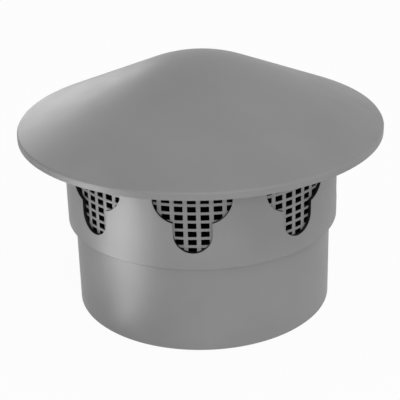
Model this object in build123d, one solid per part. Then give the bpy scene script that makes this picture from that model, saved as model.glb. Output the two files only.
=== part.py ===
from build123d import *

import os
from math import cos, hypot, radians, sin, tan

# Ventilation cap for a 110 mm pipe: windowed body, insect screen and rain hat.
# The Z axis is the cap's own axis. The origin is the centre of the spigot's bottom rim, and one
# window faces -Y. All sizes are in millimetres and all angles in degrees.

# Spigot, which goes into the socket of the pipe
spigot_diameter = 110.0
spigot_length = 38.4
spigot_wall = 2.2
spigot_lead_in = 0.6

# Collar, which carries the windows and stands on the shoulder
collar_diameter = 116.0
collar_wall = 1.5
collar_headroom = 5.5
shoulder_thickness = 2.0
collar_edge_bevel = 0.4

# Windows: a wide slot with round ends, and a tongue that hangs down from its middle
window_count = 8
window_height = 32.6
window_sill = 7.5
slot_width = 31.2
slot_height = 20.2
tongue_width = 15.4

# Rain hat: a shallow cone with a rounded top
hat_diameter = 153.4
hat_pitch = 23.8
hat_rim_height = 2.9
hat_top_radius = 61.3
hat_ceiling_drop = 0.5
hat_edge_bevel = 0.5

# Seat under the hat: a flat land for the collar's top edge, and a ring that drops into the collar
land_overhang = 2.0
land_step = 0.4
ring_depth = 4.2
ring_wall = 2.0
ring_clearance = 0.15

# Insect screen: a sleeve with one flat side for each column of oblong holes
screen_clearance = 0.1
screen_wall = 0.8
screen_turn = -0.3
hole_columns = 69
hole_rows = 9
hole_width = 3.4
hole_height = 2.35
row_pitch = 3.52
first_row_rise = 5.95

# Radii and heights that follow from the sizes above
spigot_radius = spigot_diameter / 2
spigot_bore_radius = spigot_radius - spigot_wall
collar_radius = collar_diameter / 2
collar_bore_radius = collar_radius - collar_wall
shoulder_z = spigot_length
seat_z = shoulder_z + shoulder_thickness
window_bottom_z = shoulder_z + window_sill
window_top_z = window_bottom_z + window_height
collar_top_z = window_top_z + collar_headroom

hat_radius = hat_diameter / 2
hat_slope = tan(radians(hat_pitch))
land_radius = collar_radius + land_overhang
rim_z = collar_top_z + land_step - (hat_radius - land_radius) * hat_slope
ring_radius = collar_bore_radius - ring_clearance
ring_bore_radius = ring_radius - ring_wall
ring_bottom_z = collar_top_z - ring_depth

screen_radius = collar_bore_radius - screen_clearance

slot_radius = slot_height / 2
slot_z = window_top_z - slot_radius
slot_half_span = slot_width / 2 - slot_radius
tongue_radius = tongue_width / 2
tongue_z = window_bottom_z + tongue_radius
window_pitch = 360 / window_count


def revolve_profile(profile):
    """Turns a half section, drawn in the XZ plane, into a solid around Z."""
    return revolve(Plane.XZ * profile, Axis.Z)


def circles_at(solid, radius, height):
    """The circular edges of a turned solid at one radius and height."""
    tolerance = 0.01
    return solid.edges().filter_by(
        lambda edge: edge.geom_type == GeomType.CIRCLE
        and abs(edge.radius - radius) < tolerance
        and abs(edge.arc_center.Z - height) < tolerance
    )


def window_cutter():
    """One window's outline, cut straight through the collar's wall that faces -Y."""
    slot = Pos(0, slot_z) * SlotCenterToCenter(2 * slot_half_span, slot_height)
    tongue_span = slot_z - tongue_z
    tongue = Pos(0, (slot_z + tongue_z) / 2) * SlotCenterToCenter(tongue_span, tongue_width, rotation=90)
    outline = slot + tongue
    return extrude(Plane.XZ * outline, amount=collar_radius + collar_wall)


def make_body():
    """Spigot, shoulder and collar as one turned moulding, with the windows cut around it."""
    section = make_face(
        Polyline(
            (spigot_bore_radius, 0),
            (spigot_radius, 0),
            (spigot_radius, shoulder_z),
            (collar_radius, shoulder_z),
            (collar_radius, collar_top_z),
            (collar_bore_radius, collar_top_z),
            (collar_bore_radius, seat_z),
            (spigot_bore_radius, seat_z),
            close=True,
        )
    )
    body = revolve_profile(section)
    body = chamfer(circles_at(body, spigot_radius, 0), spigot_lead_in)
    body = chamfer(circles_at(body, collar_radius, shoulder_z), collar_edge_bevel)
    cutter = window_cutter()
    return body - [Rot(0, 0, i * window_pitch) * cutter for i in range(window_count)]


def hat_height(radius, drop=0.0):
    """Height of the hat's cone at a radius, or of a line that lies a drop below it."""
    return rim_z + hat_rim_height - drop + (hat_radius - radius) * hat_slope


def make_hat():
    """Cone, seat land and locating ring as one turned moulding, with a dome on top.

    The dome is the top of a ball that lies on its side, so the ball's poles stay off the tip.
    The ceiling of the hollow is flat and lies a little below the dome's edge.
    """
    dome_edge_radius = hat_top_radius * sin(radians(hat_pitch))
    dome_edge_z = hat_height(dome_edge_radius)
    ceiling_z = dome_edge_z - hat_ceiling_drop
    ceiling_radius = hat_radius - (ceiling_z - rim_z) / hat_slope
    section = make_face(
        Polyline(
            (0, ceiling_z),
            (ceiling_radius, ceiling_z),
            (ring_bore_radius, hat_height(ring_bore_radius, hat_rim_height)),
            (ring_bore_radius, ring_bottom_z),
            (ring_radius, ring_bottom_z),
            (ring_radius, collar_top_z),
            (land_radius, collar_top_z),
            (land_radius, hat_height(land_radius, hat_rim_height)),
            (hat_radius, rim_z),
            (hat_radius, rim_z + hat_rim_height),
            (dome_edge_radius, dome_edge_z),
            (0, dome_edge_z),
            close=True,
        )
    )
    cone = revolve_profile(section)
    cone = chamfer(circles_at(cone, hat_radius, rim_z + hat_rim_height), hat_edge_bevel)
    ball_z = dome_edge_z - hat_top_radius * cos(radians(hat_pitch))
    ball = Pos(0, 0, ball_z) * Rot(90, 0, 0) * Sphere(hat_top_radius)
    side = 2 * hat_top_radius
    dome = ball & Pos(0, 0, dome_edge_z + hat_top_radius) * Box(side, side, side)
    return cone + dome


def window_shows(angle, height):
    """True where the middle of a hole lies behind a window."""
    offset = (angle + window_pitch / 2) % window_pitch - window_pitch / 2
    across = screen_radius * sin(radians(offset))
    past_slot = max(abs(across) - slot_half_span, 0)
    in_slot = hypot(past_slot, height - slot_z) < slot_radius
    past_tongue = max(tongue_z - height, height - slot_z, 0)
    in_tongue = hypot(across, past_tongue) < tongue_radius
    return in_slot or in_tongue


def screen_ring(radius):
    """Outline with one flat side for each column of holes, the first side facing -Y."""
    half_side = 180 / hole_columns
    return RegularPolygon(radius, hole_columns, rotation=half_side - 90)


def make_screen():
    """Sleeve between the shoulder's seat and the hat's ring, pierced where the windows show it."""
    ring = screen_ring(screen_radius) - screen_ring(screen_radius - screen_wall)
    sleeve = extrude(Pos(0, 0, seat_z) * ring, amount=ring_bottom_z - seat_z)
    cut_depth = 4 * screen_wall
    hole = Pos(0, -screen_radius, 0) * Box(hole_width, cut_depth, hole_height)
    holes = []
    for row in range(hole_rows):
        height = seat_z + first_row_rise + row * row_pitch
        for column in range(hole_columns):
            angle = column * 360 / hole_columns
            if window_shows(angle + screen_turn, height):
                holes.append(Pos(0, 0, height) * Rot(0, 0, angle) * hole)
    print("holes in the screen:", len(holes))
    return Rot(0, 0, screen_turn) * (sleeve - holes)


os.makedirs("parts", exist_ok=True)
export_step(make_body(), "parts/vent_body.step")
export_step(make_screen(), "parts/insect_screen.step")
export_step(make_hat(), "parts/rain_hat.step")
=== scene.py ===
# %% [markdown]
# # A moulded vent cap, dressed for its portrait
#
# The cap is three grey plastic mouldings: a body with a spigot and a windowed collar, an insect
# screen behind the windows, and a rain hat on top. Their true solids come in as a fixed frame.
# This lesson remakes the finest piece, the screen, gives each moulding its own plastic, and sets
# up the light and the camera.

import math

import bpy
from mathutils import Matrix, Vector


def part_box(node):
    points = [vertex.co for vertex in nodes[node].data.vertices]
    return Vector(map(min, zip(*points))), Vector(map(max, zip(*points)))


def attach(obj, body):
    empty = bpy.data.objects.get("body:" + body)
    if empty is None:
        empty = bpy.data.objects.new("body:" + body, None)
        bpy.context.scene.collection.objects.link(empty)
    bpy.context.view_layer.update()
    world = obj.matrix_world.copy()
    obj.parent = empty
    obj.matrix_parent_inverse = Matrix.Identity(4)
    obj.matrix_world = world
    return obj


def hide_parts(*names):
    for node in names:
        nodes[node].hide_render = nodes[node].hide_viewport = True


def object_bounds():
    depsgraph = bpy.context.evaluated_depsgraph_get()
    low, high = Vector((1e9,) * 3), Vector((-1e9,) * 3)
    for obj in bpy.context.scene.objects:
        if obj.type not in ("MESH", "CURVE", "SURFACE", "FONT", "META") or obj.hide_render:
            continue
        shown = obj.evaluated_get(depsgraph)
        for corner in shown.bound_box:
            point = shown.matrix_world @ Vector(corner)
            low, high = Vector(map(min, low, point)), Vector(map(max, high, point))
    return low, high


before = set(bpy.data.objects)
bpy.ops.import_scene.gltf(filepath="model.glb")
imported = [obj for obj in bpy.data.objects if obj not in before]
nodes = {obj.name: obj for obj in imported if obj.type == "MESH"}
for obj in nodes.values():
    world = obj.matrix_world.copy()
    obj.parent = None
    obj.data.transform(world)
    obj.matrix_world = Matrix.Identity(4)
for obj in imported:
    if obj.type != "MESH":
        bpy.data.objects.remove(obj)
cad_low, cad_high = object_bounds()
MM = 0.001
box_size = [round((high - low) / MM, 1) for low, high in zip(cad_low, cad_high)]
print("solids:", sorted(nodes), "box in mm:", box_size)

# %% [markdown]
# ## The camera
#
# The picture is a steady look from the front and about 24 degrees above. The camera stands half a
# metre away, a little to the right of the front window, and leans by a degree and a half, so that
# the hat's rim climbs to the right as it does in the photograph. A camera could be aimed with a
# constraint, but a plain matrix keeps that small roll in one place.

# %% Camera
CAMERA_TURN = math.radians(4.0)
CAMERA_RISE = 0.4271
CAMERA_DISTANCE = 510.2 * MM
CAMERA_ROLL = -0.0270
AIM_SIDE = -0.95 * MM
AIM_HEIGHT = 42.46 * MM
FOCAL_PIXELS = 1173.1
FRAME_PIXELS = 400
SENSOR_WIDTH = 36.0


def aim_camera():
    """Adds the camera at its place round the cap, with its small roll."""
    turn = Matrix.Rotation(CAMERA_TURN, 3, "Z")
    level = CAMERA_DISTANCE * math.cos(CAMERA_RISE)
    place = turn @ Vector((0, -level, AIM_HEIGHT + CAMERA_DISTANCE * math.sin(CAMERA_RISE)))
    aim = turn @ Vector((AIM_SIDE, 0, AIM_HEIGHT))
    ahead = (aim - place).normalized()
    right = ahead.cross(Vector((0, 0, 1))).normalized()
    up = right.cross(ahead)
    rolled_right = right * math.cos(CAMERA_ROLL) + up * math.sin(CAMERA_ROLL)
    rolled_up = up * math.cos(CAMERA_ROLL) - right * math.sin(CAMERA_ROLL)
    bpy.ops.object.camera_add()
    camera = bpy.context.object
    camera.name = "portrait_camera"
    camera.data.sensor_width = SENSOR_WIDTH
    camera.data.lens = FOCAL_PIXELS / FRAME_PIXELS * SENSOR_WIDTH
    axes = Matrix((rolled_right, rolled_up, -ahead)).transposed()
    camera.matrix_world = Matrix.Translation(place) @ axes.to_4x4()
    return camera


camera = aim_camera()
bpy.context.scene.camera = camera
print("camera stands at", [round(c / MM) for c in camera.location], "mm, lens", round(camera.data.lens, 1))

# %% [markdown]
# ## The insect screen
#
# The screen is a thin sleeve with a grid of small oblong holes. It could be cut with booleans, but
# a grid is quicker to grow: a circle with two points for each column of holes is extruded upwards,
# band by band, then the faces where the holes go are deleted. Solidify gives the sleeve its wall
# and a small bevel takes the sharpness off each bar, as a mould does.

# %% Screen sizes
SCREEN_NODE = "insect_screen"
COLUMNS = 69
ROWS = 9
HOLE_WIDTH = 3.4 * MM
HOLE_HEIGHT = 2.35 * MM
ROW_PITCH = 3.52 * MM
FIRST_ROW_RISE = 5.95 * MM
SCREEN_WALL = 0.8 * MM
SCREEN_TURN = math.radians(-0.3)
BAR_BEVEL = 0.16 * MM
SHARP_ANGLE = math.radians(40)

screen_low, screen_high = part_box(SCREEN_NODE)
screen_radius = screen_high[0]
column_pitch = 2 * math.pi / COLUMNS
hole_angle = 2 * math.asin(HOLE_WIDTH / 2 / screen_radius)
pitch_degrees, hole_degrees = math.degrees(column_pitch), math.degrees(hole_angle)
print("column pitch", round(pitch_degrees, 2), "degrees, hole", round(hole_degrees, 2), "degrees")


# %% Helpers for edit mode
def start_fresh():
    """Leaves nothing selected, so that the next operator acts on the new piece alone."""
    if bpy.context.object and bpy.context.object.mode != "OBJECT":
        bpy.ops.object.mode_set(mode="OBJECT")
    bpy.ops.object.select_all(action="DESELECT")


def select_by(piece, mode, test):
    """Selects the vertices, edges or faces of a piece that pass a test, and goes back to edit mode."""
    bpy.ops.mesh.select_mode(type=mode)
    bpy.ops.mesh.select_all(action="DESELECT")
    bpy.ops.object.mode_set(mode="OBJECT")
    parts = {"VERT": piece.data.vertices, "EDGE": piece.data.edges, "FACE": piece.data.polygons}[mode]
    for part in parts:
        part.select = test(part)
    bpy.ops.object.mode_set(mode="EDIT")


def apply_modifiers(piece):
    """Applies every modifier of a piece, in order."""
    for modifier in list(piece.modifiers):
        bpy.ops.object.modifier_apply(modifier=modifier.name)


# %% Grow the sleeve
def grow_sleeve():
    """A sleeve of faces, two bands of them for each row and two strips for each column of holes."""
    start_fresh()
    bpy.ops.mesh.primitive_circle_add(
        vertices=2 * COLUMNS, radius=screen_radius, fill_type="NOTHING", location=(0, 0, screen_low[2])
    )
    sleeve = bpy.context.object
    sleeve.name = "grid_screen"
    bpy.ops.object.transform_apply(location=True, rotation=True, scale=True)
    bpy.ops.object.mode_set(mode="EDIT")
    narrow = hole_angle - column_pitch / 2
    select_by(sleeve, "VERT", lambda v: v.index % 2 == 1)
    bpy.ops.transform.rotate(value=narrow, orient_axis="Z", center_override=(0, 0, 0))
    bpy.ops.mesh.select_all(action="SELECT")
    bottom_band = FIRST_ROW_RISE - HOLE_HEIGHT / 2
    bands = [bottom_band] + [HOLE_HEIGHT, ROW_PITCH - HOLE_HEIGHT] * (ROWS - 1) + [HOLE_HEIGHT]
    bands.append(screen_high[2] - screen_low[2] - sum(bands))
    for band in bands:
        bpy.ops.mesh.extrude_region_move(TRANSFORM_OT_translate={"value": (0, 0, band)})
    bpy.ops.object.mode_set(mode="OBJECT")
    return sleeve


screen = grow_sleeve()
print("sleeve of", len(screen.data.polygons), "faces")


# %% Open the holes and give the wall its thickness
def in_a_hole(face):
    """True for a face that a hole takes the place of."""
    rise = (face.center.z - screen_low[2] - FIRST_ROW_RISE) / ROW_PITCH
    in_row = abs(rise - round(rise)) * ROW_PITCH < HOLE_HEIGHT / 4 and 0 <= round(rise) < ROWS
    wide = max(v.length for v in (screen.data.vertices[i].co.xy - face.center.xy for i in face.vertices))
    return in_row and wide > HOLE_WIDTH / 2 - BAR_BEVEL


def face_the_front():
    """Turns the sleeve about Z until one column of holes faces the front, less its small turn."""
    hole = next(face for face in screen.data.polygons if in_a_hole(face))
    screen.rotation_euler.z = SCREEN_TURN - math.atan2(hole.center.x, -hole.center.y)
    bpy.ops.object.transform_apply(location=True, rotation=True, scale=True)


def pierce_and_thicken():
    """Deletes the hole faces, then adds the wall inwards and softens its edges."""
    face_the_front()
    bpy.ops.object.mode_set(mode="EDIT")
    select_by(screen, "FACE", in_a_hole)
    bpy.ops.mesh.delete(type="FACE")
    bpy.ops.mesh.select_all(action="SELECT")
    bpy.ops.mesh.normals_make_consistent(inside=False)
    bpy.ops.object.mode_set(mode="OBJECT")
    wall = screen.modifiers.new("wall", "SOLIDIFY")
    wall.thickness = SCREEN_WALL
    wall.offset = -1
    wall.use_even_offset = True
    soft = screen.modifiers.new("soft bars", "BEVEL")
    soft.width = BAR_BEVEL
    soft.segments = 2
    soft.limit_method = "ANGLE"
    soft.angle_limit = SHARP_ANGLE
    apply_modifiers(screen)
    bpy.ops.object.shade_smooth_by_angle(angle=SHARP_ANGLE)


pierce_and_thicken()
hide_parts(SCREEN_NODE)
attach(screen, "root")
screen.data.calc_loop_triangles()
print("screen of", len(screen.data.loop_triangles), "triangles")

# %% [markdown]
# ## The plastic
#
# All three pieces are the same grey moulded polymer. Up close such a skin is never one flat grey:
# the pigment drifts a little, the gloss changes where the melt cooled, and the mould's fine spark
# finish leaves a grain. These three effects are one node group, so that every moulding can have its
# own amounts. The group only puts out values, and the shader stays in each material.

# %% Node group for a moulded skin
def add_socket(group, name, direction, default=0.0):
    """Adds one number socket to a node group."""
    socket = group.interface.new_socket(name=name, in_out=direction, socket_type="NodeSocketFloat")
    if direction == "INPUT":
        socket.default_value = default


def moulded_skin_group():
    """Drift of the pigment, drift of the gloss and height of the grain, from the piece's own place."""
    group = bpy.data.node_groups.new("moulded skin", "ShaderNodeTree")
    for name, default in (("Drift Scale", 30.0), ("Gloss Scale", 90.0), ("Grain Scale", 2600.0)):
        add_socket(group, name, "INPUT", default)
    for name in ("Drift", "Gloss", "Grain"):
        add_socket(group, name, "OUTPUT")
    new, link = group.nodes.new, group.links.new
    given, made = new("NodeGroupInput"), new("NodeGroupOutput")
    place = new("ShaderNodeTexCoord").outputs["Object"]
    details = {"Drift": 3.0, "Gloss": 4.0, "Grain": 2.0}
    for result, detail in details.items():
        noise = new("ShaderNodeTexNoise")
        noise.inputs["Detail"].default_value = detail
        link(place, noise.inputs["Vector"])
        link(given.outputs[result + " Scale"], noise.inputs["Scale"])
        link(noise.outputs["Fac"], made.inputs[result])
    return group


skin_group = moulded_skin_group()
print("node group:", skin_group.name)

# %% [markdown]
# The photograph shows the cut edges of the windows, and all that lies behind the screen, as black.
# These faces get painted shade: a near black colour in place of the shade that falls inside the cap.
# A second group finds these faces. It measures the distance from the cap's axis and puts out one
# inside a given reach. The reach can change at one height, because the spigot is narrower than the
# collar above it.


# %% Node group for the painted shade inside
def painted_shade_inside_group():
    """Mask for the painted shade: one within a reach of the Z axis, with one reach below a height and
    another above it.
    """
    group = bpy.data.node_groups.new("painted inside shade", "ShaderNodeTree")
    for name in ("Step Height", "Low Reach", "High Reach"):
        add_socket(group, name, "INPUT")
    add_socket(group, "Inside", "OUTPUT")
    new, link = group.nodes.new, group.links.new
    given, made = new("NodeGroupInput"), new("NodeGroupOutput")
    split, flat = new("ShaderNodeSeparateXYZ"), new("ShaderNodeCombineXYZ")
    link(new("ShaderNodeTexCoord").outputs["Object"], split.inputs["Vector"])
    link(split.outputs["X"], flat.inputs["X"])
    link(split.outputs["Y"], flat.inputs["Y"])
    far = new("ShaderNodeVectorMath")
    far.operation = "LENGTH"
    link(flat.outputs["Vector"], far.inputs[0])
    above = new("ShaderNodeMath")
    above.operation = "GREATER_THAN"
    link(split.outputs["Z"], above.inputs[0])
    link(given.outputs["Step Height"], above.inputs[1])
    reach = new("ShaderNodeMix")
    link(above.outputs["Value"], reach.inputs["Factor"])
    link(given.outputs["Low Reach"], reach.inputs["A"])
    link(given.outputs["High Reach"], reach.inputs["B"])
    inside = new("ShaderNodeMath")
    inside.operation = "LESS_THAN"
    link(far.outputs["Value"], inside.inputs[0])
    link(reach.outputs["Result"], inside.inputs[1])
    link(inside.outputs["Value"], made.inputs["Inside"])
    return group


shade_mask_group = painted_shade_inside_group()
print("node group:", shade_mask_group.name)

# %% [markdown]
# ## One material for each moulding
#
# The pigment drift mixes two close greys, the gloss drift moves the roughness by a few hundredths,
# and the grain goes into a Bump node with a real depth of hundredths of a millimetre.

# %% Plastic values
GREY = 0.257
COOL_TINT = 1.01
DRIFT_SHARE = 0.05
DRIFT_LOW, DRIFT_HIGH = 0.3, 0.7
ROUGHNESS = 0.45
ROUGHNESS_DRIFT = 0.05
REFRACTION = 1.49
GRAIN_STRENGTH = 0.35
# Painted shade: a near black colour for faces inside the cap and for the floor inside the spigot, in place
# of the shade there.
PAINTED_SHADE_GREY = 0.006
BODY_PAINTED_SHADE = (39.0 * MM, 53.2 * MM, 57.9 * MM)
SCREEN_PAINTED_SHADE = (0.0, 0.0, screen_radius - 0.22 * MM)
print("grey", GREY, "with roughness", ROUGHNESS)


# %% Plastics
def drifting_grey(tree, skin, grey):
    """A grey that moves by a twentieth either way with the drift of the skin."""
    tone = tree.nodes.new("ShaderNodeMapRange")
    tone.inputs["From Min"].default_value = DRIFT_LOW
    tone.inputs["From Max"].default_value = DRIFT_HIGH
    tree.links.new(skin.outputs["Drift"], tone.inputs["Value"])
    colour = tree.nodes.new("ShaderNodeMix")
    colour.data_type = "RGBA"
    darker, lighter = (1 - DRIFT_SHARE) * grey, (1 + DRIFT_SHARE) * grey
    colour.inputs["A"].default_value = (darker, darker, darker * COOL_TINT, 1)
    colour.inputs["B"].default_value = (lighter, lighter, lighter * COOL_TINT, 1)
    tree.links.new(tone.outputs["Result"], colour.inputs["Factor"])
    return colour.outputs["Result"]


def paint_inside_shade(tree, colour, step, low, high):
    """The same colour, but with painted shade, nearly black, within the reach of the painted inside shade
    group.
    """
    finder = tree.nodes.new("ShaderNodeGroup")
    finder.node_tree = shade_mask_group
    finder.inputs["Step Height"].default_value = step
    finder.inputs["Low Reach"].default_value = low
    finder.inputs["High Reach"].default_value = high
    mix = tree.nodes.new("ShaderNodeMix")
    mix.data_type = "RGBA"
    mix.inputs["B"].default_value = (PAINTED_SHADE_GREY, PAINTED_SHADE_GREY, PAINTED_SHADE_GREY, 1)
    tree.links.new(finder.outputs["Inside"], mix.inputs["Factor"])
    tree.links.new(colour, mix.inputs["A"])
    return mix.outputs["Result"]


def grey_plastic(name, drift_scale, sheen, grain_depth, dark=None):
    """A satin grey plastic whose tone, gloss and grain follow the moulded skin group; with dark, it gets
    painted shade inside.
    """
    material = bpy.data.materials.new(name)
    material.use_nodes = True
    tree = material.node_tree
    new, link = tree.nodes.new, tree.links.new
    shader = tree.nodes["Principled BSDF"]
    shader.inputs["IOR"].default_value = REFRACTION
    shader.inputs["Specular IOR Level"].default_value = sheen
    skin = new("ShaderNodeGroup")
    skin.node_tree = skin_group
    skin.inputs["Drift Scale"].default_value = drift_scale
    colour = drifting_grey(tree, skin, GREY)
    # painted shade: nearly black on the faces within the reach given by dark
    if dark:
        colour = paint_inside_shade(tree, colour, *dark)
    link(colour, shader.inputs["Base Color"])
    rough = new("ShaderNodeMapRange")
    rough.inputs["To Min"].default_value = ROUGHNESS - ROUGHNESS_DRIFT
    rough.inputs["To Max"].default_value = ROUGHNESS + ROUGHNESS_DRIFT
    link(skin.outputs["Gloss"], rough.inputs["Value"])
    link(rough.outputs["Result"], shader.inputs["Roughness"])
    bump = new("ShaderNodeBump")
    bump.inputs["Strength"].default_value = GRAIN_STRENGTH
    bump.inputs["Distance"].default_value = grain_depth
    link(skin.outputs["Grain"], bump.inputs["Height"])
    link(bump.outputs["Normal"], shader.inputs["Normal"])
    return material


def dress(piece, material):
    """Gives a piece one material on all of its faces."""
    piece.data.materials.clear()
    piece.data.materials.append(material)


hat_plastic = grey_plastic("hat plastic", drift_scale=26.0, sheen=0.22, grain_depth=0.03 * MM)
body_plastic = grey_plastic(
    "body plastic", drift_scale=32.0, sheen=0.35, grain_depth=0.03 * MM, dark=BODY_PAINTED_SHADE
)
screen_plastic = grey_plastic(
    "screen plastic", drift_scale=60.0, sheen=0.25, grain_depth=0.02 * MM, dark=SCREEN_PAINTED_SHADE
)
dress(nodes["rain_hat"], hat_plastic)
dress(nodes["vent_body"], body_plastic)
dress(screen, screen_plastic)
print("materials:", [m.name for m in bpy.data.materials])

# %% [markdown]
# ## The stage and the light
#
# The cap stands on a plain white floor in a white room. Both look white to the camera and in a sheen.
# The floor keeps a faint shadow, and inside the spigot it has painted shade: a near black disc, as if a
# pipe went on down.

# %% Floor
FLOOR_SIZE = 6.0
FLOOR_WHITE = 0.8
FLOOR_ROUGHNESS = 0.9
GLOW_SHARE = 0.95
# Radius of the floor's painted shade disc inside the spigot
PAINTED_SHADE_RADIUS = 53.5 * MM


def seen_as_white(tree):
    """One for the rays that should meet plain white: from the camera, in a sheen and through glass."""
    seen = tree.nodes.new("ShaderNodeLightPath")
    both = tree.nodes.new("ShaderNodeMath")
    tree.links.new(seen.outputs["Is Camera Ray"], both.inputs[0])
    tree.links.new(seen.outputs["Is Glossy Ray"], both.inputs[1])
    every = tree.nodes.new("ShaderNodeMath")
    every.use_clamp = True
    tree.links.new(both.outputs["Value"], every.inputs[0])
    tree.links.new(seen.outputs["Is Transmission Ray"], every.inputs[1])
    return every.outputs["Value"]


def white_floor():
    """A wide floor, white to the camera less a faint shadow and plain for the light, with painted shade
    inside the spigot.
    """
    start_fresh()
    bpy.ops.mesh.primitive_plane_add(size=FLOOR_SIZE, location=(0, 0, cad_low[2]))
    floor = bpy.context.object
    floor.name = "studio_floor"
    material = bpy.data.materials.new("floor white")
    material.use_nodes = True
    tree = material.node_tree
    new, link = tree.nodes.new, tree.links.new
    shader = tree.nodes["Principled BSDF"]
    shader.inputs["Roughness"].default_value = FLOOR_ROUGHNESS
    glow = new("ShaderNodeEmission")
    reach = new("ShaderNodeVectorMath")
    reach.operation = "LENGTH"
    link(new("ShaderNodeTexCoord").outputs["Object"], reach.inputs[0])
    # Painted shade: within the spigot the floor is near black and loses its white glow
    outside = new("ShaderNodeMath")
    outside.operation = "GREATER_THAN"
    outside.inputs[1].default_value = PAINTED_SHADE_RADIUS
    link(reach.outputs["Value"], outside.inputs[0])
    paint = new("ShaderNodeMapRange")
    paint.inputs["To Min"].default_value = PAINTED_SHADE_GREY
    paint.inputs["To Max"].default_value = FLOOR_WHITE
    link(outside.outputs["Value"], paint.inputs["Value"])
    link(paint.outputs["Result"], shader.inputs["Base Color"])
    shown = new("ShaderNodeMath")
    shown.operation = "MULTIPLY"
    link(seen_as_white(tree), shown.inputs[0])
    link(outside.outputs["Value"], shown.inputs[1])
    share = new("ShaderNodeMath")
    share.operation = "MULTIPLY"
    share.inputs[1].default_value = GLOW_SHARE
    link(shown.outputs["Value"], share.inputs[0])
    blend = new("ShaderNodeMixShader")
    link(share.outputs["Value"], blend.inputs["Fac"])
    link(shader.outputs["BSDF"], blend.inputs[1])
    link(glow.outputs["Emission"], blend.inputs[2])
    link(blend.outputs["Shader"], tree.nodes["Material Output"].inputs["Surface"])
    dress(floor, material)
    return floor


white_floor()
print("floor at", round(cad_low[2] / MM, 2), "mm")


# %% [markdown]
# Two soft lamps and the room give the even grey of the front. The pale strip on the collar and the
# spigot is a reflection. An upright wall seen from above mirrors the floor, so two lit cards lie
# there, and a lamp behind on the left does the same for the hat. One strong lamp at the left could
# make the strip too, but it would also brighten the whole left side and burn out the rim in other
# views.


# %% White room and lamps
ROOM_LIGHT = 0.5
LAMP_DISTANCE = 1.2
CARD_LIFT = 0.5 * MM


def white_room(strength):
    """A plain white world: it shows white, in reflections too, and lights the cap at a lower level."""
    world = bpy.data.worlds.new("white room")
    bpy.context.scene.world = world
    world.use_nodes = True
    tree = world.node_tree
    back = tree.nodes["Background"]
    back.inputs["Color"].default_value = (1, 1, 1, 1)
    level = tree.nodes.new("ShaderNodeMapRange")
    level.inputs["To Min"].default_value = strength
    level.inputs["To Max"].default_value = 1.0
    tree.links.new(seen_as_white(tree), level.inputs["Value"])
    tree.links.new(level.outputs["Result"], back.inputs["Strength"])


def soft_lamp(name, turn, rise, size, watts):
    """A square area lamp at an angle round the cap and above it, aimed at the cap's middle."""
    middle = (Vector(cad_low) + Vector(cad_high)) / 2
    a, e = math.radians(turn), math.radians(rise)
    away = Vector((math.sin(a) * math.cos(e), -math.cos(a) * math.cos(e), math.sin(e)))
    bpy.ops.object.light_add(type="AREA", location=middle + away * LAMP_DISTANCE)
    lamp = bpy.context.object
    lamp.name = name
    lamp.data.size = size
    lamp.data.energy = watts
    lamp.rotation_euler = away.to_track_quat("Z", "Y").to_euler()
    lamp.visible_camera = False
    return lamp


def sheen_only(lamp):
    """Lets a lamp show in the gloss of the plastic alone, with no light on its matt part."""
    lamp.visible_diffuse = False


def floor_card(name, x, y, turn, length, width, watts):
    """A long lit card that lies on the floor: the upright walls mirror it as a pale strip."""
    place = (x, y, cad_low[2] + CARD_LIFT)
    bpy.ops.object.light_add(type="AREA", location=place, rotation=(math.pi, 0, math.radians(turn)))
    card = bpy.context.object
    card.name = name
    card.data.shape = "RECTANGLE"
    card.data.size = width
    card.data.size_y = length
    card.data.energy = watts
    card.visible_camera = False
    return card


white_room(ROOM_LIGHT)
soft_lamp("front_low", turn=10, rise=20, size=0.6, watts=5.0)
soft_lamp("right_high", turn=60, rise=62, size=0.6, watts=2.2)
far_card = floor_card(
    "sheen_left_far", x=-0.190, y=-0.122, turn=-68, length=0.21, width=0.085, watts=0.68
)
near_card = floor_card(
    "sheen_left_near", x=-0.0794, y=-0.0684, turn=-70, length=0.076, width=0.022, watts=0.025
)
back_lamp = soft_lamp("sheen_back_left", turn=-150, rise=13, size=0.5, watts=3.0)
for lamp in (far_card, near_card, back_lamp):
    sheen_only(lamp)

# %% [markdown]
# ## Last lines
#
# The view transform stays plain, so that a grey renders about as it is written.

# %% Finish
bpy.context.scene.view_settings.view_transform = "Standard"
